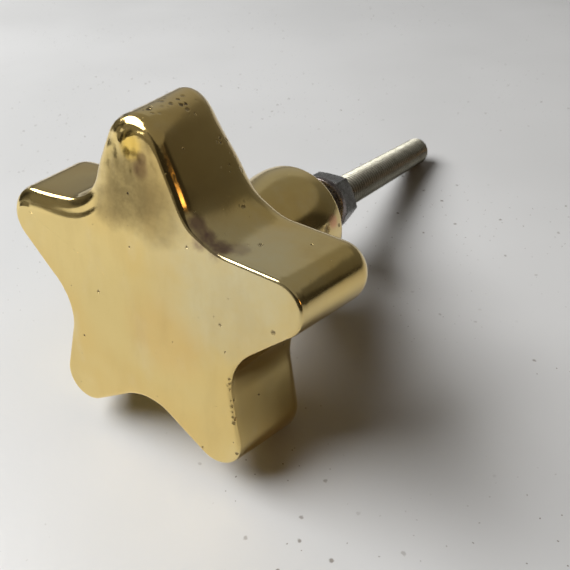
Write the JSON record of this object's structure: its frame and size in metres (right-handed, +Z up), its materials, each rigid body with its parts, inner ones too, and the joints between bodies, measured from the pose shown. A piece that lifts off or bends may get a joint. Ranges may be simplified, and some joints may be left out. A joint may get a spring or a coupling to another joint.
{
  "type": "drawer knob",
  "caption": "Star-shaped brass drawer knob with a flared neck, a threaded stud, a lock washer and a hex nut.",
  "frame": {"origin": "centre of the neck's flat seat, the face that bears on the drawer front", "axes": "+Y along the stud, away from the star; +Z up with one tip of the star at the top; the star faces -Y"},
  "size_m": [0.0396, 0.0794, 0.0379],
  "materials": {
    "brass_head": "hand-polished cast brass with light patina and pits",
    "brass_neck": "polished turned brass with light patina",
    "stud_steel": "dull zinc-plated thread",
    "washer_steel": "dull zinc plate",
    "nut_steel": "dull zinc plate"
  },
  "bodies": {
    "knob": {"star_head": "brass_head", "neck": "brass_neck", "threaded_stud": "stud_steel"},
    "washer": {"lock_washer": "washer_steel"},
    "nut": {"hex_nut": "nut_steel"}
  },
  "joints": [
    {"name": "washer_travel", "type": "slide", "parent": "knob", "child": "washer", "axis": [0, 1, 0], "range_m": [-0.0064, 0.032]},
    {"name": "nut_turn", "type": "hinge", "parent": "washer", "child": "nut", "pos_m": [0, 0.0097, 0], "axis": [0, 1, 0], "range_deg": [-2881, 14401]}
  ],
  "couplings": [
    {"joint": "nut_turn", "follows": "washer_travel", "rad_per_m": 7854}
  ]
}
